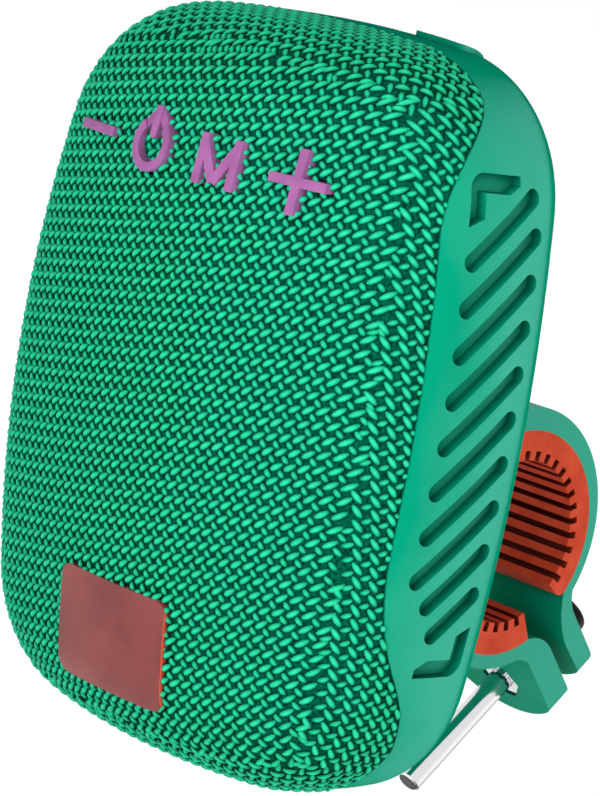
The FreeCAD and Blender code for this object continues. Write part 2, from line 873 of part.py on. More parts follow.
def make_housing_screws():
    screws = []
    for x, z in boss_places():
        size = (screw_radius, screw_head_radius, screw_head_height)
        screws.append(screw_y(x, z, -screw_head_height - 0.4, housing_screw_length, *size, -1))
    return Part.makeCompound(screws)


def make_driver_screws():
    screws = []
    for x, z in driver_screw_places():
        size = (driver_screw_radius, driver_screw_head, driver_screw_head_height)
        screws.append(screw_y(x, z, flange_y + flange_thickness, driver_screw_length, *size, -1))
    return Part.makeCompound(screws)


def foot_screw_places():
    zs = (foot_top - foot_screw_inset, foot_bottom + foot_screw_inset)
    return [(sx * foot_screw_x, z) for sx in (-1, 1) for z in zs]


def make_foot_screws():
    screws = []
    for x, z in foot_screw_places():
        size = (screw_radius, screw_head_radius, screw_head_height)
        screws.append(screw_y(x, z, foot_thickness, foot_screw_length, *size, -1))
    return Part.makeCompound(screws)


# ---- clamp ----


def on_tab(out, up):
    """The (y, z) point out along the tabs and up along the bolt, from the tabs' own point."""
    p = tab_foot + tab_way * out + bolt_way * up
    return (p.y, p.z)


def tab_end(reach, low, high):
    """What to cut off beyond a tab's round end."""
    wide = 1.5 * clamp_width
    deep = tab_end_radius / 2
    block = Part.makeBox(2 * wide, high - low, 2 * deep, V(-wide, low, -deep))
    cut = block.cut(rod(tab_end_radius, V(0, low - 1, -tab_end_radius), V(0, high + 1, -tab_end_radius)))
    turn = FreeCAD.Matrix(-1, 0, 0, 0, 0, bolt_way.y, tab_way.y, 0, 0, bolt_way.z, tab_way.z, 0, 0, 0, 0, 1)
    cut.Placement = FreeCAD.Placement(turn)
    cut.translate(tab_foot + tab_way * reach)
    return cut


def edges_along(shape, way):
    """Straight edges on the clamp's two side planes that run along a direction."""
    found = []
    for e in shape.Edges:
        ends = [v.Point for v in e.Vertexes]
        if len(ends) == 2 and abs(abs(e.CenterOfMass.x) - half_clamp) < 0.01:
            line = ends[1] - ends[0]
            straight = abs(line.Length - e.Length) < 0.001 and line.Length > 1
            if straight and abs(line.normalize().dot(way)) > 0.9999:
                found.append(e)
    return found


def round_tab(shape):
    """Round the two upright corners at a tab's end."""
    corners = [e for e in edges_along(shape, bolt_way) if (e.CenterOfMass - tab_foot).dot(tab_way) > 0]
    return shape.makeFillet(tab_corner, corners)


def liner(centre, seat, seat_radius, radius, start, end):
    """A rubber liner: its back follows the jaw's seat, its bore has level ribs across the clamp."""
    root = radius + rib_depth
    count = int(abs(end - start) / rib_pitch)
    span = abs(end - start) / count
    way = 1 if end > start else -1
    gap = span * (1 - rib_share)
    back = rod_x(seat_radius, seat[0], seat[1], -half_clamp, half_clamp)
    inner = []
    a = start
    here = polar(*centre, radius, a)
    first = here
    for k in range(count):
        rib_end = a + way * (span - gap if k < count - 1 else span)
        inner.append((polar(*centre, radius, (a + rib_end) / 2), polar(*centre, radius, rib_end)))
        a = start + way * span * (k + 1)
        if k < count - 1:
            inner.append((polar(*centre, root, rib_end),))
            inner.append((polar(*centre, root, (rib_end + a) / 2), polar(*centre, root, a)))
            inner.append((polar(*centre, radius, a),))
    far = seat_radius * 1.4
    rim = [(polar(*centre, far, end),), (polar(*centre, far, (start + end) / 2), polar(*centre, far, start))]
    ring = prism_x(-half_clamp, half_clamp, first, *inner, *rim, (first,))
    return ring.common(back).Solids[0]


def sector(centre, start, end, far):
    """A wedge about the X axis through centre, for cutting rings."""
    mid = (start + end) / 2
    steps = [(polar(*centre, far, start),), (polar(*centre, far, mid), polar(*centre, far, end)), (centre,)]
    return prism_x(-clamp_width, clamp_width, centre, *steps)


def make_lower_liner():
    size = (lower_seat_radius, bore_radius, lower_liner_start, lower_liner_end)
    return liner(bar_centre, lower_centre, *size)


def make_upper_liner():
    size = (upper_seat_radius, upper_bore_radius, upper_liner_start, upper_liner_end)
    whole = liner((upper_bore_y, upper_bore_z), upper_centre, *size)
    level = [e for e in whole.Edges if e.BoundBox.XLength > clamp_width - 0.1]
    lowest = min(level, key=lambda e: e.CenterOfMass.z)
    return whole.makeFillet(liner_tip, [lowest])


def knuckle_cut(inner):
    """Room round the hinge for the other jaw's knuckles: the middle, or both ends."""
    r = barrel_radius + 0.5
    if inner:
        w = knuckle_half + knuckle_gap
        return rod_x(r, hinge_y, hinge_z, -w, w)
    ends = []
    for sx in (-1, 1):
        ends.append(rod_x(r, hinge_y, hinge_z, sx * knuckle_half, sx * (half_clamp + 2)))
    return ends[0].fuse(ends[1])


def make_clamp_base():
    """Foot plate, neck and lower jaw."""
    x = half_clamp
    outer = lower_seat_radius + lower_wall
    ring = rod_x(outer, *lower_centre, -x, x)
    ring = ring.common(sector(lower_centre, 138, 298, 2.5 * outer))
    joint = rod_x(barrel_radius, hinge_y, hinge_z, -x, x)
    low = polar(*lower_centre, outer, 236)
    mid = polar(*lower_centre, outer - 1, 190)
    up = polar(*lower_centre, outer - 1, 140)
    top = hinge_z + barrel_radius
    near = (foot_thickness - 1, foot_bottom + 4)
    steps = [((foot_thickness - 1, top - 1.5),), ((hinge_y - 1.5, top),), ((hinge_y + 1.0, hinge_z - 2.5),)]
    steps += [(up,), (mid,), (low,), (near,)]
    neck = prism_x(-x, x, near, *steps)
    foot = box(-foot_width / 2, foot_width / 2, 0, foot_thickness, foot_bottom, foot_top)
    foot = foot.makeFillet(5.0, [e for e in foot.Edges if e.BoundBox.YLength > 3])
    tip = on_tab(lower_tab_reach, 0)
    inner_tip = on_tab(lower_tab_reach, lower_tab)
    root = polar(*lower_centre, outer, 285)
    inner_root = polar(*lower_centre, lower_seat_radius, 299)
    shoulder = on_tab(-8.6, 0)
    gap_start = on_tab(-7.0, lower_tab)
    turn = on_tab(-11.0, lower_tab - 1.4)
    bend = (shoulder[0] - 2.0, shoulder[1] + 0.75)
    steps = [(bend, shoulder), (tip,), (inner_tip,), (gap_start,), (turn, inner_root)]
    steps.append((polar(*lower_centre, lower_seat_radius, 290),))
    tab = prism_x(-x, x, root, *steps, (root,))
    base = fuse([ring, joint, neck, foot, tab])
    base = base.cut(rod_x(lower_seat_radius, *lower_centre, -x - 1, x + 1))
    base = base.cut(rod_x(upper_seat_radius + 0.4, *upper_centre, -x - 1, x + 1).cut(lower_half()))
    base = base.cut(knuckle_cut(True))
    base = base.cut(rod_x(pin_radius, hinge_y, hinge_z, -x - 1, x + 1))
    base = round_tab(base.cut(tab_end(lower_tab_reach, -4, lower_tab + 1)).Solids[0])
    base = base.cut(rod(bolt_radius + bolt_hole_gap, bolt_foot - bolt_way * 5, bolt_foot + bolt_way * 9))
    base = base.cut(nut_form(0.1, -nut_recess - 4, nut_recess))
    for fx, fz in foot_screw_places():
        base = base.cut(rod_y(screw_radius + 0.25, fx, fz, -1, foot_thickness + 1))
    return base.Solids[0]


def lower_half():
    """Below the split between the jaws, where the lower jaw keeps its own seat."""
    return sector(lower_centre, 150, 300, 60)


def make_upper_jaw():
    x = half_clamp
    wall = rod_x(upper_outer_radius, upper_outer_y, upper_outer_z, -x, x)
    wall = wall.cut(rod_x(upper_seat_radius, *upper_centre, -x - 1, x + 1))
    arch = wall.common(sector(upper_centre, -33, 119, 60))
    w = knuckle_half
    link = wall.common(sector(upper_centre, 110, 136, 60)).common(box(-w, w, 0, 90, -90, 90))
    joint = rod_x(barrel_radius, hinge_y, hinge_z, -w, w)
    top = lower_tab + tab_gap + upper_tab
    low = lower_tab + tab_gap
    outer_root = (upper_outer_y + 19.45, upper_outer_z - 6.65)
    inner_root = polar(*upper_centre, upper_seat_radius, -33)
    steps = [(on_tab(-11.9, top + 1.25), on_tab(-8.0, top)), (on_tab(upper_tab_reach, top),)]
    steps += [(on_tab(upper_tab_reach, low + 0.4),), (on_tab(-5.0, low),)]
    steps += [(on_tab(-10.2, low + 1.35), inner_root), (outer_root,)]
    tab = prism_x(-x, x, outer_root, *steps)
    jaw = fuse([arch, link, joint, tab])
    jaw = jaw.cut(rod_x(upper_seat_radius, *upper_centre, -x - 1, x + 1))
    jaw = jaw.cut(knuckle_cut(False))
    jaw = jaw.cut(rod_x(pin_radius + pin_fit, hinge_y, hinge_z, -x - 1, x + 1))
    jaw = round_tab(jaw.cut(tab_end(upper_tab_reach, low - 1, top + 1)).Solids[0])
    jaw = jaw.makeFillet(tab_edge, edges_along(jaw, tab_way))
    return jaw.cut(bolt_slot(low - 2, top + 4)).Solids[0]


def bolt_slot(start, end):
    """A long hole for the bolt, which wanders outward in it as the jaw opens."""
    r = bolt_radius + bolt_hole_gap

    def place(p):
        return bolt_foot + bolt_way * start + V(p[0], 0, 0) + tab_way * p[1]

    steps = [((0, -r), (r, 0)), ((r, slot_outward),)]
    steps += [((0, slot_outward + r), (-r, slot_outward)), ((-r, 0),)]
    edges = edges_through((-r, 0), steps, place)
    return Part.Face(Part.Wire(edges)).extrude(bolt_way * (end - start))


def hexagon(flats, start, length):
    """A hexagonal prism about the bolt's axis, from start along the bolt."""
    r = flats / 2 / math.cos(math.pi / 6)
    centre = bolt_foot + bolt_way * start
    points = []
    for k in range(7):
        a = math.radians(60 * k)
        points.append(centre + V(r * math.cos(a), 0, 0) + tab_way * (r * math.sin(a)))
    return Part.Face(Part.makePolygon(points)).extrude(bolt_way * length)


def nut_form(grow, start, end):
    return hexagon(nut_flats + 2 * grow, start, end - start)


def make_nut():
    nut = nut_form(0.0, nut_recess - nut_height, nut_recess)
    face = nut_flats * 0.53
    outer = bolt_foot + bolt_way * (nut_recess - nut_height)
    nut = nut.common(Part.makeCone(face, face + nut_height, nut_height, outer, bolt_way))
    return nut.cut(rod(bolt_radius + bolt_fit, bolt_foot - bolt_way * 9, bolt_foot + bolt_way * 9))


def make_bolt():
    seat = bolt_foot + bolt_way * head_seat
    top = seat + bolt_way * bolt_head_height
    shank = rod(bolt_radius, bolt_foot - bolt_way * bolt_below, seat)
    end = [e for e in shank.Edges if (e.CenterOfMass - (bolt_foot - bolt_way * bolt_below)).Length < 0.1]
    shank = shank.makeChamfer(0.4, end)
    head = rod(bolt_head_radius, seat, top)
    rim = [e for e in head.Edges if (e.CenterOfMass - top).Length < 0.1]
    head = head.makeFillet(0.8, rim)
    socket = hexagon(bolt_socket_flats, head_seat + bolt_head_height - 2.2, 3)
    return fuse([shank, head]).cut(socket)


def make_hinge_pin():
    return rod_x(pin_radius, hinge_y, hinge_z, -half_clamp, half_clamp)


# ---- export ----


def all_pieces():
    pieces = {
        "fabric_cover": make_fabric(),
        "front_frame": make_front_frame(),
        "rear_housing": make_rear_housing(),
        "housing_seal": make_seal(),
        "badge_plate": make_badge(),
        "key_board": make_key_board(),
        "key_switches": make_switches(),
        "driver_gasket": make_gasket(),
        "driver_basket": make_basket(),
        "driver_magnet": make_magnet(),
        "driver_cone": make_cone(),
        "driver_surround": make_surround(),
        "driver_dust_cap": make_dust_cap(),
        "driver_screws": make_driver_screws(),
        "battery_cell": make_battery(),
        "main_board": make_main_board(),
        "port_socket": make_port_socket(),
        "port_cover": make_port_cover(),
        "housing_screws": make_housing_screws(),
        "clamp_base": make_clamp_base(),
        "foot_screws": make_foot_screws(),
        "lower_liner": make_lower_liner(),
        "upper_jaw": make_upper_jaw(),
        "upper_liner": make_upper_liner(),
        "hinge_pin": make_hinge_pin(),
        "clamp_bolt": make_bolt(),
        "clamp_nut": make_nut(),
    }
    for name, slot, sign in key_table:
        pieces[name] = key_piece(slot, sign)
    return pieces


def main():
    os.makedirs("parts", exist_ok=True)
    for name, shape in all_pieces().items():
        moved = shape.copy()
        moved.translate(V(0, -bar_y, -bar_z))
        print(name, len(moved.Solids), moved.isValid(), round(moved.Volume, 1), len(moved.Faces))
        moved.exportStep("parts/" + name + ".step")


main()
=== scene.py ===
import math
import random

import bmesh
import bpy
from mathutils import Matrix, Vector
from mathutils.bvhtree import BVHTree


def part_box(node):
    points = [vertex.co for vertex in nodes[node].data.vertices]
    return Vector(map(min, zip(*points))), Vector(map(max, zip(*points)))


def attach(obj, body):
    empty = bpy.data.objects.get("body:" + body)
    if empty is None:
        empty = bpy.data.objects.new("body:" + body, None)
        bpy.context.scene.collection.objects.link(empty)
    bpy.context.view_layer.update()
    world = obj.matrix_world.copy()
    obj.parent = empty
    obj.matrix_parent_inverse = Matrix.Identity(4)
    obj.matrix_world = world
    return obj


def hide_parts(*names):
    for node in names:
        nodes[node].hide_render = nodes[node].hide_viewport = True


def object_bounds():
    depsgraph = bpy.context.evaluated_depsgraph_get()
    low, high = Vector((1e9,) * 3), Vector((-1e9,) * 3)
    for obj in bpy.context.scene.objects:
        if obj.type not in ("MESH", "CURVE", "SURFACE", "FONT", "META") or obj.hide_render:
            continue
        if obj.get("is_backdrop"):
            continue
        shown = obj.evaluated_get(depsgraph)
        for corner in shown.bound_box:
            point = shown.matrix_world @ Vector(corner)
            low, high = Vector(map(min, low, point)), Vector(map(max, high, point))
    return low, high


# A portable speaker on a handlebar clamp. Lengths named here are millimetres, in the speaker's own axes:
# x to the right, y = 0 on the flat back with the front towards -y, z = 0 at mid height. place() turns them
# into the frame.

MM = 0.001

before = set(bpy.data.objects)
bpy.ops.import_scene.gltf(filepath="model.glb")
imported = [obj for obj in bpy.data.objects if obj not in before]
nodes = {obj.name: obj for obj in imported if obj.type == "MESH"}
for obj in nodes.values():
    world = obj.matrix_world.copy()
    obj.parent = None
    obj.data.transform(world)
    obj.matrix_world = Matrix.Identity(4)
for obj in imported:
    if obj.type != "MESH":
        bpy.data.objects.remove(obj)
cad_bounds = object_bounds()

# ---- places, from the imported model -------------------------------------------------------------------

BODY_HEIGHT = 110.0
BOLT_SLOPE = 42.0  # degrees by which the bolt rises towards its head
BOLT_HEAD = 5.0  # of the bolt's length; the head is black
BOLT_END_FACE = 0.1  # at the tip, where the end face is a darker, rougher grey than the plating

housing_low, housing_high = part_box("rear_housing")
badge_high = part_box("badge_plate")[1]
origin = Vector((0.0, housing_high.y, housing_low.z + BODY_HEIGHT / 2 * MM))
bolt_way = Vector((0.0, math.cos(math.radians(BOLT_SLOPE)), math.sin(math.radians(BOLT_SLOPE))))
bolt_reach = [v.co.dot(bolt_way) for v in nodes["clamp_bolt"].data.vertices]
head_start = max(bolt_reach) - BOLT_HEAD * MM
plating_end = min(bolt_reach) + BOLT_END_FACE * MM


def place(x, y, z):
    """A point of the speaker's axes, in the frame."""
    return origin + Vector((x, y, z)) * MM


# ---- camera ------------------------------------------------------------------------------------------

VIEW_TARGET = (13.51, -19.13, 2.13)
VIEW_AZIMUTH = 44.16  # degrees to the right of straight in front
VIEW_ELEVATION = 9.55
VIEW_ROLL = 10.24
VIEW_DISTANCE = 430.5
LENS = 137.56
SENSOR = 36.0  # along the picture's long side
CLIP_START = 10.0


def make_camera():
    az, el, roll = (math.radians(a) for a in (VIEW_AZIMUTH, VIEW_ELEVATION, VIEW_ROLL))
    back = Vector((math.cos(el) * math.sin(az), -math.cos(el) * math.cos(az), math.sin(el)))
    level = Vector((math.cos(az), math.sin(az), 0.0))
    upright = back.cross(level)
    right = level * math.cos(roll) + upright * math.sin(roll)
    up = upright * math.cos(roll) - level * math.sin(roll)
    data = bpy.data.cameras.new("camera")
    data.lens = LENS
    data.sensor_fit = "AUTO"
    data.sensor_width = SENSOR
    data.clip_start = CLIP_START * MM
    camera = bpy.data.objects.new("camera", data)
    bpy.context.scene.collection.objects.link(camera)
    turn = Matrix((right, up, back)).transposed().to_4x4()
    camera.matrix_world = Matrix.Translation(place(*VIEW_TARGET) + back * VIEW_DISTANCE * MM) @ turn
    bpy.context.scene.camera = camera


make_camera()

# ---- materials: tools --------------------------------------------------------------------------------

RECESS_REACH = 3.0  # walls nearer than this darken a hollow with painted shade
BLACK, WHITE = (0.0, 0.0, 0.0), (1.0, 1.0, 1.0)


def rgb(red, green, blue):
    """A colour from its screen values, 0 to 255, as the linear values of a shader."""
    shares = (c / 255 for c in (red, green, blue))
    return tuple(c / 12.92 if c < 0.0404 else ((c + 0.055) / 1.055) ** 2.4 for c in shares)


def grey(shade, tint=2):
    """A grey with a little more blue than red and green."""
    return rgb(shade, shade, shade + tint)


class Finish:
    """A node material that is built up step by step around one Principled shader."""

    def __init__(self, name, **values):
        self.material = bpy.data.materials.new(name)
        self.material.use_nodes = True
        self.tree = self.material.node_tree
        self.shader = self.tree.nodes["Principled BSDF"]
        for key, value in values.items():
            self.shader.inputs[key.replace("_", " ")].default_value = value
        self.where = self.add("ShaderNodeTexCoord").outputs["Object"]

    def add(self, kind, links=(), **values):
        """A new node; links gives each input a value or the output that feeds it."""
        node = self.tree.nodes.new(kind)
        for key, value in values.items():
            setattr(node, key, value)
        for socket, source in dict(links).items():
            if isinstance(source, bpy.types.NodeSocket):
                self.tree.links.new(source, node.inputs[socket])
            else:
                node.inputs[socket].default_value = source
        return node

    def put(self, socket, source):
        """Feeds one of the shader's own inputs."""
        self.tree.links.new(source, self.shader.inputs[socket])

    def combine(self, operation, one, two=0.0):
        return self.add("ShaderNodeMath", {0: one, 1: two}, operation=operation).outputs[0]

    def axes(self, vector):
        return self.add("ShaderNodeSeparateXYZ", {"Vector": vector}).outputs

    def normal(self):
        return self.add("ShaderNodeNewGeometry").outputs["Normal"]

    def scale(self, value, low, high):
        """A value of 0 to 1, turned into low to high."""
        return self.add("ShaderNodeMapRange", {"Value": value, "To Min": low, "To Max": high}).outputs[0]

    def span(self, value, low, high):
        """Where a value lies between low and high, 0 to 1."""
        return self.add("ShaderNodeMapRange", {"Value": value, "From Min": low, "From Max": high}).outputs[0]

    def noise(self, size, detail=3.0, stretch=None):
        """Cloudy noise whose features are size millimetres wide."""
        where = self.where
        if stretch:
            where = self.add("ShaderNodeMapping", {"Vector": where, "Scale": stretch}).outputs[0]
        links = {"Vector": where, "Scale": 1 / (size * MM), "Detail": detail}
        return self.add("ShaderNodeTexNoise", links).outputs[0]

    def ramp(self, value, *stops):
        """Colours along a value: stops are (position, colour)."""
        node = self.add("ShaderNodeValToRGB", {"Fac": value})
        elements = node.color_ramp.elements
        while len(elements) < len(stops):
            elements.new(0.5)
        for element, (position, colour) in zip(elements, stops):
            element.position = position
            element.color = (*colour, 1.0)
        return node.outputs[0]

    def mix(self, share, one, two):
        """From colour one to colour two as share goes from 0 to 1."""
        node = self.add("ShaderNodeMix", data_type="RGBA", blend_type="MIX")
        self.tree.links.new(share, node.inputs[0])
        for socket, source in ((node.inputs[6], one), (node.inputs[7], two)):
            if isinstance(source, bpy.types.NodeSocket):
                self.tree.links.new(source, socket)
            else:
                socket.default_value = (*source, 1.0)
        return node.outputs[2]

    def painted_recess_shade(self, colour, dark, reach):
        """Painted shade: the colour, towards dark where walls closer than reach millimetres shut the spot in.
        """
        free = self.add("ShaderNodeAmbientOcclusion", {"Distance": reach * MM}, samples=6).outputs["AO"]
        return self.mix(self.ramp(free, (0.4, BLACK), (0.9, WHITE)), dark, colour)

    def bump(self, height, strength, distance):
        """Fine relief: height is 0 to 1, distance is how deep that is in millimetres."""
        links = {"Height": height, "Strength": strength, "Distance": distance * MM}
        self.put("Normal", self.add("ShaderNodeBump", links).outputs[0])


def tinted(finish, size, dark, light, recess_shade=None):
    """Gives a finish a soft variation between two near colours, and painted shade in its recesses."""
    colour = finish.ramp(finish.noise(size), (0.35, dark), (0.65, light))
    if recess_shade:
        colour = finish.painted_recess_shade(colour, recess_shade, RECESS_REACH)
    finish.put("Base Color", colour)
    return finish


def moulded(finish, roughness=0.42, grain=0.12):
    """Gives a finish the surface of a moulding: a slightly uneven gloss and a fine grain."""
    finish.put("Roughness", finish.scale(finish.noise(3.0), roughness - 0.05, roughness + 0.06))
    finish.bump(finish.noise(0.28, detail=2.0), 0.35, grain / 6)
    return finish.material


# ---- materials: the speaker's own --------------------------------------------------------------------


def satin_plastic(name, dark, light, roughness=0.42, grain=0.12):
    """Moulded plastic with a fine spark-eroded grain and a soft drift of shade."""
    return moulded(tinted(Finish(name, IOR=1.46, Specular_IOR_Level=0.07), 22, dark, light), roughness, grain)


def dark_plastic(name, shade=34):
    return satin_plastic(name, grey(shade), grey(shade + 14, 1), roughness=0.5, grain=0.18)


def housing_plastic(name, gloss=0.02, sheen_cut_at_rear=0.0):
    """Green plastic with painted sheen, lighter towards the back on the faces that look sideways, and painted
    shade in its grooves and recesses.

    With its last argument at 1 the painted sheen ends where the face rounds off to the rear.
    """
    # the first colour is the plastic's own green, the second the painted sheen, the third the painted shade
    # in grooves and recesses
    green, sheen_tint, deep = rgb(4, 154, 118), rgb(64, 174, 146), rgb(0, 98, 75)
    finish = Finish(name, IOR=1.46, Specular_IOR_Level=gloss)
    across, rearward, _ = finish.axes(finish.normal())
    # painted sheen: lighter on faces that look sideways, more so towards the back, taken away where they
    # round off to the rear
    sideways = finish.span(finish.combine("ABSOLUTE", across), 0.4, 0.75)
    back = finish.span(finish.axes(finish.where)["Y"], housing_low.y, housing_high.y)
    rounded = finish.scale(finish.span(rearward, 0.12, 0.35), 0.0, sheen_cut_at_rear)
    painted_sheen = finish.combine("SUBTRACT", finish.combine("MULTIPLY", sideways, back), rounded)
    # a random drift of tone plus the painted sheen
    drift = finish.combine("ADD", finish.noise(22), painted_sheen)
    colour = finish.ramp(finish.span(drift, 0.4, 1.6), (0.1, green), (0.65, sheen_tint))
    finish.put("Base Color", finish.painted_recess_shade(colour, deep, RECESS_REACH))
    return moulded(finish)


def rubber(name, dark, light, recess_shade=None):
    """Soft rubber with a dusty bloom."""
    # a recess colour, when given, is painted shade
    finish = tinted(Finish(name, IOR=1.45, Specular_IOR_Level=0.2), 4, dark, light, recess_shade)
    finish.put("Roughness", finish.scale(finish.noise(1.2), 0.5, 0.72))
    finish.bump(finish.noise(0.4), 0.5, 0.03)
    return finish.material


def liner_rubber(name):
    # the dark red is painted shade between the liner's ribs
    return rubber(name, rgb(206, 66, 36), rgb(222, 82, 50), recess_shade=rgb(88, 20, 8))


def brushed_metal(name, dark, light, stretch):
    """Bright metal with fine streaks, narrow along the axis that stretch enlarges."""
    finish = Finish(name, Metallic=1.0)
    streaks = finish.noise(0.35, detail=4.0, stretch=stretch)
    finish.put("Base Color", finish.ramp(streaks, (0.3, dark), (0.7, light)))
    finish.put("Roughness", finish.scale(streaks, 0.12, 0.3))
    finish.bump(streaks, 0.3, 0.015)
    return finish.material


def chrome(name, darkest_reflection_height, dark_beyond=()):
    """Polished plating whose colour is a painted reflection: darkest where the height of its normal is the
    value given second, bright where it looks up.

    dark_beyond lists the bolt's darker ends: a comparison, a place along the bolt and a shade for each.
    """
    finish = Finish(name, Metallic=1.0)
    painted_reflection = finish.span(finish.axes(finish.normal())["Z"], darkest_reflection_height, 0.3)
    # painted reflection: dark grey where the plating looks down, white where it looks up
    stops = (0.1, grey(84, 4)), (0.35, rgb(164, 165, 168)), (0.6, grey(244)), (1.0, grey(222, 3))
    colour = finish.ramp(painted_reflection, *stops)
    rough = finish.scale(finish.noise(2.4), 0.06, 0.16)
    links = {0: finish.where, 1: bolt_way}
    along = finish.add("ShaderNodeVectorMath", links, operation="DOT_PRODUCT").outputs["Value"]
    for operation, limit, shade in dark_beyond:
        here = finish.combine(operation, along, limit)
        colour = finish.mix(here, colour, grey(shade))
        rough = finish.combine("MAXIMUM", finish.scale(here, 0.0, 0.45), rough)
    finish.put("Base Color", colour)
    finish.put("Roughness", rough)
    return finish.material


def fabric_ground_shade():
    """Painted shade: the dark green that shows deep between the threads, in place of their shadow."""
    finish = Finish("fabric_ground_shade", Roughness=0.95, Specular_IOR_Level=0.0)
    finish.put("Base Color", finish.ramp(finish.noise(0.5), (0.35, rgb(0, 54, 40)), (0.6, rgb(4, 94, 68))))
    finish.bump(finish.noise(0.2), 0.6, 0.08)
    return finish.material


def fabric_thread():
    """Polyester thread, finely ribbed, with painted shade: bright on the crests, dark where it dives under
    its neighbours.
    """
    finish = Finish("fabric_thread", Roughness=0.62, IOR=1.4, Specular_IOR_Level=0.2)
    tone_and_painted_shade = finish.add("ShaderNodeAttribute", attribute_name="tone_and_painted_shade").outputs["Fac"]
    # painted shade and highlight: from the dark ends and flanks of a thread to its light top
    stops = (0.0, rgb(0, 64, 47)), (0.3, rgb(0, 108, 79)), (0.6, rgb(8, 168, 122)), (1.0, rgb(42, 222, 166))
    worn = finish.scale(finish.noise(1.6), 0.0, 0.25)
    finish.put("Base Color", finish.mix(worn, finish.ramp(tone_and_painted_shade, *stops), rgb(14, 160, 116)))
    finish.bump(finish.noise(0.16, detail=2.0), 0.4, 0.03)
    return finish.material


def circuit_board():
    finish = Finish("circuit_board", Roughness=0.35, IOR=1.5)
    links = {"Vector": finish.where, "Scale": 1 / (2.4 * MM)}
    tracks = finish.add("ShaderNodeTexVoronoi", links, distance="MANHATTAN").outputs["Distance"]
    finish.put("Base Color", finish.ramp(tracks, (0.42, rgb(14, 74, 44)), (0.5, rgb(34, 110, 62))))
    return finish.material


def key_paint():
    """Orchid plastic of the keys, slightly duller in drifts."""
    finish = Finish("key_orchid", IOR=1.46, Specular_IOR_Level=0.2)
    tinted(finish, 3.5, rgb(146, 86, 140), rgb(164, 100, 158))
    finish.put("Roughness", finish.scale(finish.noise(1.5), 0.38, 0.55))
    finish.bump(finish.noise(0.25), 0.3, 0.015)
    return finish.material


def badge_enamel():
    """Glossy russet plate with a bright right-hand edge, which turns to painted shade where the cloth closes
    in at its foot.
    """
    edge_width, edge_reach = 0.12, 1.2
    finish = Finish("badge_enamel", IOR=1.45, Specular_IOR_Level=0.3, Coat_Weight=0.12, Coat_Roughness=0.1)
    across = finish.axes(finish.where)["X"]
    edge = finish.combine("GREATER_THAN", across, badge_high.x - edge_width * MM)
    face = finish.ramp(finish.noise(9), (0.35, rgb(118, 50, 48)), (0.65, rgb(136, 62, 58)))
    # painted shade: the edge goes dark green where walls close in on it
    shaded_rim = finish.painted_recess_shade(rgb(226, 78, 52), rgb(16, 60, 44), edge_reach)
    finish.put("Base Color", finish.mix(edge, face, shaded_rim))
    finish.put("Roughness", finish.scale(finish.noise(2.5), 0.24, 0.34))
    return finish.material


bolt_darks = ("GREATER_THAN", head_start, 26), ("LESS_THAN", plating_end, 66)
MATERIALS = {
    "front_frame": satin_plastic("frame_plastic", rgb(24, 60, 50), rgb(34, 72, 60)),
    "rear_housing": housing_plastic("housing_plastic", gloss=0.0, sheen_cut_at_rear=1.0),
    "housing_seal": rubber("seal_rubber", rgb(20, 70, 56), rgb(30, 84, 68)),
    "badge_plate": badge_enamel(),
    "key_board": circuit_board(),
    "key_switches": dark_plastic("switch_plastic"),
    "driver_gasket": rubber("gasket_foam", grey(30, 0), grey(48, 0)),
    "driver_basket": dark_plastic("basket_steel", 40),
    "driver_magnet": brushed_metal("magnet_plating", rgb(120, 122, 126), rgb(170, 172, 176), (1, 1, 6)),
    "driver_cone": dark_plastic("cone_paper", 44),
    "driver_surround": rubber("surround_rubber", grey(22), grey(36)),
    "driver_dust_cap": dark_plastic("dust_cap_paper", 50),
    "battery_cell": satin_plastic("battery_wrap", rgb(60, 90, 150), rgb(74, 106, 168), roughness=0.35),
    "main_board": circuit_board(),
    "port_socket": brushed_metal("socket_plating", rgb(150, 152, 156), rgb(200, 202, 206), (6, 1, 1)),
    "port_cover": rubber("port_cover_rubber", rgb(20, 150, 118), rgb(34, 166, 134)),
    "clamp_base": housing_plastic("clamp_plastic"),
    "upper_jaw": housing_plastic("jaw_plastic"),
    "lower_liner": liner_rubber("liner_rubber"),
    "upper_liner": liner_rubber("jaw_liner_rubber"),
    "hinge_pin": brushed_metal("pin_steel", grey(120, 4), grey(180, 4), (8, 1, 1)),
    "clamp_bolt": chrome("bolt_chrome", -0.6, bolt_darks),
    "clamp_nut": chrome("nut_chrome", -1.6),
}
for name in ("driver_screws", "housing_screws", "foot_screws"):
    MATERIALS[name] = brushed_metal(name + "_steel", grey(96, 4), grey(150, 4), (1, 6, 1))
for name in ("key_minus", "key_power", "key_mode", "key_plus"):
    MATERIALS[name] = key_paint()


def dress(node, material):
    """Gives a CAD node its finish in every slot."""
    slots = nodes[node].data.materials
    if not slots:
        slots.append(material)
    for index in range(len(slots)):
        slots[index] = material


for name, material in MATERIALS.items():
    dress(name, material)

# ---- fabric: sizes -----------------------------------------------------------------------------------

SKIN_DEPTH = 0.30  # the ground under the threads lies this much below the fabric's own surface
WELD = 1e-6  # metres; corners of the fabric nearer than this are one
RAY_START = 120.0
REACH = 60.0  # the cells of a side go this far each way from its middle
CELLS = 69  # steps each way, enough for that reach

# one weave cell, as drawn on the front: two steps, and the long and the short thread in it
STEP_A, STEP_B = (1.98, 0.35), (-0.28, -2.08)
CELL_START = (18.25, 22.58)
SIDE_START = (-23.34, 43.59)
LONG_SHIFT, SHORT_SHIFT = (0, 0), (0.85, -0.85)
LONG = {"angle": 39.0, "length": 2.3, "width": 1.0, "rise": 0.32, "dull": 1.0}
SHORT = {"angle": -46.0, "length": 1.42, "width": 0.9, "rise": 0.22, "dull": 0.9}
SIDE_LONG = {**LONG, "length": 2.2}
SIDE_SHORT = {**SHORT, "angle": -61.0}

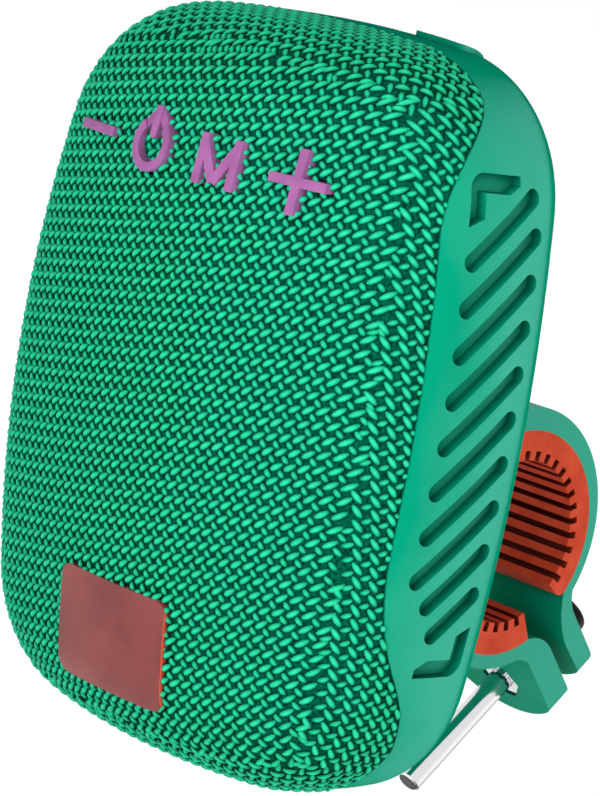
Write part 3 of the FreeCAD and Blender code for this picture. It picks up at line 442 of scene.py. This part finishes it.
# no two threads are quite alike: ranges of the turn in radians, and of the shares of length and shade
SEED = 7
TURN_RANGE = (-0.05, 0.05)
LENGTH_RANGE = (0.96, 1.04)
SHADE_RANGE = (0.93, 1.05)

# the arched capsule of one thread: stations along it and corners round it
STATIONS = (-1.0, -0.86, -0.5, 0.0, 0.5, 0.86, 1.0)
MIDDLE = len(STATIONS) // 2
RING = 6
SINK = 0.24  # the ends of its middle line lie this deep
HALF_HEIGHT = 0.3
FADE = 0.22  # painted shade: how much darker its far end is
DIM = 0.1  # the lowest painted shade value, at its ends and flanks
CREST_BEND = 0.9  # powers that shape how the painted shade falls from its top to the flanks and to the ends
CREST_END = 0.5

# where a thread is cut, or left out
SAMPLES = 12
NEAR = 0.25  # how far two neighbouring samples may differ in height on level cloth
SLANT = 2.2  # on sloping cloth, this many sample lengths more
SHORTEST = 0.3  # of a thread's length; a shorter rest is left out
SQUARE = 0.35  # a side doesn't reach cloth that faces it less squarely than this
ALMOST = 1e-6
OVERLAP = 0.14  # how much more squarely another side may face a spot that is left bare
CLEAR = 0.66  # a bare spot is this far from all threads

# beside the keys and the badge
WINDOWED = ("key_minus", "key_power", "key_mode", "key_plus", "badge_plate")
DRAWN_UP = 0.4  # the cloth there stands this much higher
DRAWN_REACH = 2.4
LOST = 0.4  # a point this much deeper than the hull has fallen through a window
TUCK = 0.55  # how far a thread's end runs into their walls
TUCK_REACH = 1.0

# ---- fabric: the weave -------------------------------------------------------------------------------


def tree_of(obj):
    mesh = obj.data
    mesh.calc_loop_triangles()
    corners = [v.co for v in mesh.vertices]
    return BVHTree.FromPolygons(corners, [tuple(t.vertices) for t in mesh.loop_triangles])


def hull_tree_of(obj):
    """The same body without its windows, as its convex hull."""
    form = bmesh.new()
    form.from_mesh(obj.data)
    bmesh.ops.convex_hull(form, input=form.verts)
    bmesh.ops.triangulate(form, faces=form.faces)
    tree = BVHTree.FromBMesh(form)
    form.free()
    return tree


dice = random.Random(SEED)
fabric_tree = tree_of(nodes["fabric_cover"])
hull_tree = hull_tree_of(nodes["fabric_cover"])
windows = [(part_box(name), tree_of(nodes[name])) for name in WINDOWED]


def beside(point, box, reach):
    """True where a point lies in front of a box, or less than reach millimetres beside it."""
    low, high = box
    level = low.x - reach * MM < point.x < high.x + reach * MM
    return level and low.z - reach * MM < point.z < high.z + reach * MM


def near_window(point):
    """True beside a key or the badge, where threads run on into its wall."""
    if any(beside(point, box, TUCK_REACH) for box, _ in windows):
        return fabric_tree.find_nearest(point)[3] < TUCK * MM
    return False


def drawn_up(point):
    """How much higher the cloth stands at a point beside a key or the badge."""
    rise = 0.0
    for box, tree in windows:
        if beside(point, box, DRAWN_REACH):
            gap = tree.find_nearest(point)[3]
            rise = max(rise, DRAWN_UP * max(0.0, 1 - gap / (DRAWN_REACH * MM)) ** 2)
    return rise


class Side:
    """One of the directions from which the weave is laid on a surface."""

    def __init__(self, inward, across, up, start, turn, kinds=(LONG, SHORT), tree=fabric_tree, lift=0.0):
        self.inward = Vector(inward)
        self.across, self.up = Vector(across), Vector(up)
        self.start, self.turn = start, math.radians(turn)
        self.kinds, self.tree, self.lift = kinds, tree, lift

    def spun(self, u, v):
        c, s = math.cos(self.turn), math.sin(self.turn)
        return c * u - s * v, s * u + c * v

    def cast(self, u, v):
        """The surface's point and normal that this side sees at (u, v), or None."""
        start = origin + (self.across * u + self.up * v - self.inward * RAY_START) * MM
        hit, normal, _, _ = self.tree.ray_cast(start, self.inward)
        if self.tree is fabric_tree:
            whole, facing, _, _ = hull_tree.ray_cast(start, self.inward)
            lost = hit is None or (whole is not None and (hit - whole).length > LOST * MM)
            if whole is not None and lost and near_window(whole):
                hit, normal = whole, facing
        if hit is None or normal.dot(self.inward) > -SQUARE:
            return None
        rise = self.lift if self.lift else drawn_up(hit)
        return hit + normal * rise * MM, normal

    def owns(self, normal, slack):
        """True where this side faces the surface more squarely than the others do."""
        return -normal.dot(self.inward) >= max(abs(c) for c in normal) - slack


FRONT_SIDE = Side((0, 1, 0), (1, 0, 0), (0, 0, 1), CELL_START, 0)
EDGE_SIDES = (
    Side((-1, 0, 0), (0, 1, 0), (0, 0, 1), SIDE_START, -90, (SIDE_LONG, SIDE_SHORT)),
    Side((1, 0, 0), (0, 1, 0), (0, 0, 1), SIDE_START, 90, (SIDE_LONG, SIDE_SHORT)),
    Side((0, 0, -1), (1, 0, 0), (0, 1, 0), CELL_START, 0),
    Side((0, 0, 1), (1, 0, 0), (0, 1, 0), CELL_START, 0),
)


def places_of(side, shift=0.0):
    """Where the weave's cells, moved by a share of a step, put the threads of one side, with their kind."""
    for i in range(-CELLS, CELLS):
        for j in range(-CELLS, CELLS):
            u = (i + shift) * STEP_A[0] + (j + shift) * STEP_B[0]
            v = (i + shift) * STEP_A[1] + (j + shift) * STEP_B[1]
            for kind, (shift_u, shift_v) in zip(side.kinds, (LONG_SHIFT, SHORT_SHIFT)):
                su, sv = side.spun(u + shift_u, v + shift_v)
                su, sv = su + side.start[0], sv + side.start[1]
                if abs(su) < REACH and abs(sv) < REACH:
                    yield su, sv, kind


def longest_run(seen, step):
    """The longest unbroken stretch of samples that lie on one surface, as its first and last index."""
    best, first = (0, 0), 0
    for index in range(1, len(seen) + 1):
        whole = index < len(seen) and seen[index] and seen[index - 1]
        if whole and (seen[index][0] - seen[index - 1][0]).length < step:
            continue
        if seen[first] and index - 1 - first > best[1] - best[0]:
            best = (first, index - 1)
        first = index
    return best


def thread_line(side, u, v, kind, slack):
    """The points and normals along the top of one thread, cut to the stretch that lies on the fabric."""
    angle = math.radians(kind["angle"]) + side.turn + dice.uniform(*TURN_RANGE)
    half = kind["length"] / 2 * dice.uniform(*LENGTH_RANGE)
    du, dv = math.cos(angle) * half, math.sin(angle) * half
    seen = [side.cast(u + t * du, v + t * dv) for t in (2 * k / SAMPLES - 1 for k in range(SAMPLES + 1))]
    first, last = longest_run(seen, (NEAR + kind["length"] / SAMPLES * SLANT) * MM)
    if last - first < SHORTEST * SAMPLES or not side.owns(seen[(first + last) // 2][1], slack):
        return None
    low, high = 2 * first / SAMPLES - 1, 2 * last / SAMPLES - 1
    middle, size = (low + high) / 2, (high - low) / 2
    line = [side.cast(u + (middle + t * size) * du, v + (middle + t * size) * dv) for t in STATIONS]
    return None if None in line else line


def add_thread(line, kind, points, faces, tone_and_painted_shade):
    """Appends one arched, tapered capsule, with a painted shade value at each of its points."""
    first = len(points)
    bright = kind["dull"] * dice.uniform(*SHADE_RANGE)
    for index, (point, normal) in enumerate(line):
        t = STATIONS[index]
        centre = point + normal * ((1 - t * t) * kind["rise"] - SINK) * MM
        if abs(t) == 1:
            points.append(centre)
            tone_and_painted_shade.append(DIM)
            continue
        ahead = line[index + 1][0] - line[index - 1][0]
        across = ahead.cross(normal).normalized()
        swell = math.sqrt(1 - t * t)
        wide, tall = kind["width"] / 2 * swell, HALF_HEIGHT * swell
        # painted shade: darker towards the far end, lighter on the top of the thread than on its flanks and
        # ends
        shade = bright * (1.0 - FADE * max(0.0, t))
        for k in range(RING):
            angle = 2 * math.pi * (k + 0.5) / RING
            lift = math.sin(angle)
            points.append(centre + (across * wide * math.cos(angle) + normal * tall * lift) * MM)
            top = max(0.0, lift) ** CREST_BEND * swell ** CREST_END
            tone_and_painted_shade.append(shade * (DIM + (1 - DIM) * top))
    add_capsule_faces(first, faces)


def add_capsule_faces(first, faces):
    """The faces between an end point, the rings of a thread and its other end point."""
    rings = len(STATIONS) - 2
    start = first + 1
    end = start + rings * RING
    for k in range(RING):
        after = (k + 1) % RING
        faces.append((first, start + k, start + after))
        for r in range(rings - 1):
            a, b = start + r * RING, start + (r + 1) * RING
            faces.append((a + k, b + k, b + after, a + after))
        faces.append((end - RING + after, end - RING + k, end))


def between_sides(normal):
    """True where two sides face the surface about as squarely."""
    most, second, _ = sorted((abs(c) for c in normal), reverse=True)
    return most - second < 2 * OVERLAP


class Crowd:
    """Remembers where threads lie, in a grid of cells CLEAR wide."""

    def __init__(self):
        self.cells = {}

    def cell(self, point):
        return tuple(math.floor(c / (CLEAR * MM)) for c in point)

    def add(self, line):
        for point, _ in line[::2] + [line[MIDDLE]]:
            self.cells.setdefault(self.cell(point), []).append(point)

    def near(self, point):
        i, j, k = self.cell(point)
        around = ((i + a, j + b, k + c) for a in (-1, 0, 1) for b in (-1, 0, 1) for c in (-1, 0, 1))
        return any((other - point).length < CLEAR * MM for c in around for other in self.cells.get(c, ()))


def lay_side(side, crowd, piece, filling):
    """Lays the threads of one side or, when filling, those that fit into bare spots at its borders."""
    for shift in (0.0, 0.5) if filling else (0.0,):
        for u, v, kind in places_of(side, shift):
            line = thread_line(side, u, v, kind, OVERLAP if filling else ALMOST)
            if line is None:
                continue
            point, normal = line[MIDDLE]
            if not filling or (between_sides(normal) and not crowd.near(point)):
                add_thread(line, kind, *piece)
                crowd.add(line)


def lay_weave(*groups):
    """The threads of each group of sides, as the points, faces and painted shade values of one piece each."""
    pieces = [([], [], []) for _ in groups]
    crowd = Crowd()
    for filling in (False, True):
        for piece, sides in zip(pieces, groups):
            for side in sides:
                lay_side(side, crowd, piece, filling)
    return pieces


def new_mesh(name, points, faces):
    mesh = bpy.data.meshes.new(name)
    mesh.from_pydata(points, [], faces)
    mesh.validate()
    return mesh


def new_object(name, mesh, material):
    obj = bpy.data.objects.new(name, mesh)
    bpy.context.scene.collection.objects.link(obj)
    mesh.materials.append(material)
    mesh.shade_smooth()
    return obj


def make_weave(name, piece, material):
    points, faces, tone_and_painted_shade = piece
    mesh = new_mesh(name, points, faces)
    # each point keeps its painted shade value for the thread finish
    mesh.attributes.new("tone_and_painted_shade", "FLOAT", "POINT").data.foreach_set("value", tone_and_painted_shade)
    return new_object(name, mesh, material)


def make_ground(material):
    """The cloth under the threads: the fabric's own shell, thinner from both sides."""
    form = bmesh.new()
    form.from_mesh(nodes["fabric_cover"].data)
    bmesh.ops.remove_doubles(form, verts=form.verts, dist=WELD)
    form.normal_update()
    moves = [(v, v.normal.copy()) for v in form.verts]
    for vertex, normal in moves:
        vertex.co -= normal * SKIN_DEPTH * MM
    mesh = bpy.data.meshes.new("fabric_ground_shade")
    form.to_mesh(mesh)
    form.free()
    mesh.materials.clear()
    return new_object("fabric_ground_shade", mesh, material)


# ---- fabric: the cloth inside the power key's ring ---------------------------------------------------

PAD_RADIUS = 2.66
PAD_RINGS, PAD_SPOKES = 5, 28
PAD_GAP = 0.05  # the disc lies this much above the key's pad
STEM_CLEAR = 1.2  # this far below the ring's middle, nothing stands on the pad
POWER_PROUD = 0.8  # the ring stands at least this much above the pad

power_low, power_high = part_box("key_power")
minus_low, minus_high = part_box("key_minus")
power_x = (power_low.x + power_high.x) / 2
power_z = (minus_low.z + minus_high.z) / 2


class PadSide(Side):
    """The front direction, limited to the pad inside the power key's ring."""

    def cast(self, u, v):
        found = super().cast(u, v)
        if found is None:
            return None
        sunk = found[0].y > power_low.y + POWER_PROUD * MM
        inside = math.hypot(found[0].x - power_x, found[0].z - power_z) < PAD_RADIUS * MM
        return found if sunk and inside else None

    def owns(self, normal, slack):
        """Always true: no other side lays cloth there."""
        return True


power_tree = tree_of(nodes["key_power"])
power_side = PadSide((0, 1, 0), (1, 0, 0), (0, 0, 1), CELL_START, 0, tree=power_tree, lift=SKIN_DEPTH)


def make_pad(material):
    """A disc that lies on the pad inside the power key's ring."""
    centre = ((power_x - origin.x) / MM, (power_z - origin.z) / MM)
    drop = (SKIN_DEPTH - PAD_GAP) * MM
    level = power_side.cast(centre[0], centre[1] - STEM_CLEAR)[0].y + drop
    points, faces = [], []
    for ring in range(PAD_RINGS + 1):
        radius = PAD_RADIUS * ring / PAD_RINGS
        for spoke in range(PAD_SPOKES):
            angle = 2 * math.pi * spoke / PAD_SPOKES
            u, v = centre[0] + radius * math.cos(angle), centre[1] + radius * math.sin(angle)
            found = power_side.cast(u, v)
            y = found[0].y + drop if found else level
            points.append((origin.x + u * MM, y, origin.z + v * MM))
    for ring in range(PAD_RINGS):
        for spoke in range(PAD_SPOKES):
            a, b = ring * PAD_SPOKES, (ring + 1) * PAD_SPOKES
            after = (spoke + 1) % PAD_SPOKES
            faces.append((a + spoke, b + spoke, b + after, a + after))
    return new_object("power_cloth", new_mesh("power_cloth", points, faces), material)


# the ground's dark green is painted shade, under the threads and on the power key's pad
ground_shade_finish, thread_finish = fabric_ground_shade(), fabric_thread()
front_threads, edge_threads = lay_weave((FRONT_SIDE,), EDGE_SIDES)
power_threads, = lay_weave((power_side,))
cloth = (
    (make_ground(ground_shade_finish), "root"),
    (make_weave("fabric_weave_front", front_threads, thread_finish), "root"),
    (make_weave("fabric_weave_edges", edge_threads, thread_finish), "root"),
    (make_pad(ground_shade_finish), "power_key"),
    (make_weave("power_weave", power_threads, thread_finish), "power_key"),
)
for obj, body in cloth:
    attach(obj, body)
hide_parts("fabric_cover")

# ---- studio ------------------------------------------------------------------------------------------

FLOOR_GAP = 0.4
FLOOR_SIZE = 6000.0
FLOOR_STEPS = 12
FLOOR_SHADE = 0.9
FLOOR_GLOW = 1.2  # seen by the camera; it lifts the lit floor to white and leaves the shadow
FLOOR_BOUNCE = 0.42  # share of that glow in the light that the floor gives
FLOOR_SEEN = 0.82  # and in what the camera sees of it
AMBIENT = 0.2  # how bright the white surroundings are as a light; what is seen of them is 1
LAMP_TARGET = (0, -19, 0)
LAMPS = (  # name, place, size across, power in watts
    ("key_light", (230, -640, 190), 480, 4.0),
    ("side_light", (680, -150, 60), 420, 2.3),
    ("back_light", (-260, 620, 260), 400, 1.0),
)


def empty_tree(holder):
    holder.use_nodes = True
    holder.node_tree.nodes.clear()
    return holder.node_tree


def seen_or_lighting(tree, lighting, seen):
    """A strength: seen for rays from the camera, mirrored ones too, and lighting for the rays of light."""
    path = tree.nodes.new("ShaderNodeLightPath")
    ray = path.outputs["Is Camera Ray"]
    for kind in ("Is Glossy Ray", "Is Transmission Ray"):
        either = tree.nodes.new("ShaderNodeMath")
        either.operation = "MAXIMUM"
        tree.links.new(ray, either.inputs[0])
        tree.links.new(path.outputs[kind], either.inputs[1])
        ray = either.outputs[0]
    strength = tree.nodes.new("ShaderNodeMapRange")
    strength.inputs["To Min"].default_value = lighting
    strength.inputs["To Max"].default_value = seen
    tree.links.new(ray, strength.inputs[0])
    return strength.outputs[0]


def floor_material():
    material = bpy.data.materials.new("floor")
    tree = empty_tree(material)
    kinds = "ShaderNodeBsdfDiffuse", "ShaderNodeEmission", "ShaderNodeMixShader", "ShaderNodeOutputMaterial"
    matte, glow, mixed, output = (tree.nodes.new(kind) for kind in kinds)
    matte.inputs[0].default_value = (FLOOR_SHADE, FLOOR_SHADE, FLOOR_SHADE, 1)
    glow.inputs[1].default_value = FLOOR_GLOW
    tree.links.new(seen_or_lighting(tree, FLOOR_BOUNCE, FLOOR_SEEN), mixed.inputs[0])
    tree.links.new(matte.outputs[0], mixed.inputs[1])
    tree.links.new(glow.outputs[0], mixed.inputs[2])
    tree.links.new(mixed.outputs[0], output.inputs[0])
    return material


def make_floor():
    z = cad_bounds[0][2] - FLOOR_GAP * MM
    grid = [FLOOR_SIZE * MM * (i / FLOOR_STEPS - 0.5) for i in range(FLOOR_STEPS + 1)]
    points = [(x, y, z) for y in grid for x in grid]
    row = FLOOR_STEPS + 1
    corners = [j * row + i for j in range(FLOOR_STEPS) for i in range(FLOOR_STEPS)]
    faces = [(a, a + 1, a + row + 1, a + row) for a in corners]
    floor = new_object("floor", new_mesh("floor", points, faces), floor_material())
    floor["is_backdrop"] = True


def make_world():
    world = bpy.data.worlds.new("studio")
    bpy.context.scene.world = world
    tree = empty_tree(world)
    sky, output = tree.nodes.new("ShaderNodeBackground"), tree.nodes.new("ShaderNodeOutputWorld")
    sky.inputs[0].default_value = (1, 1, 1, 1)
    tree.links.new(seen_or_lighting(tree, AMBIENT, 1.0), sky.inputs[1])
    tree.links.new(sky.outputs[0], output.inputs[0])
    bpy.context.scene.view_settings.view_transform = "Standard"


def make_lamp(name, where, size, power):
    data = bpy.data.lights.new(name, "AREA")
    data.size = size * MM
    data.energy = power
    lamp = bpy.data.objects.new(name, data)
    bpy.context.scene.collection.objects.link(lamp)
    lamp.location = place(*where)
    lamp.rotation_euler = (place(*LAMP_TARGET) - lamp.location).to_track_quat("-Z", "Y").to_euler()


make_floor()
make_world()
for lamp in LAMPS:
    make_lamp(*lamp)

[[list(corner) for corner in box] for box in (cad_bounds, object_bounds())]
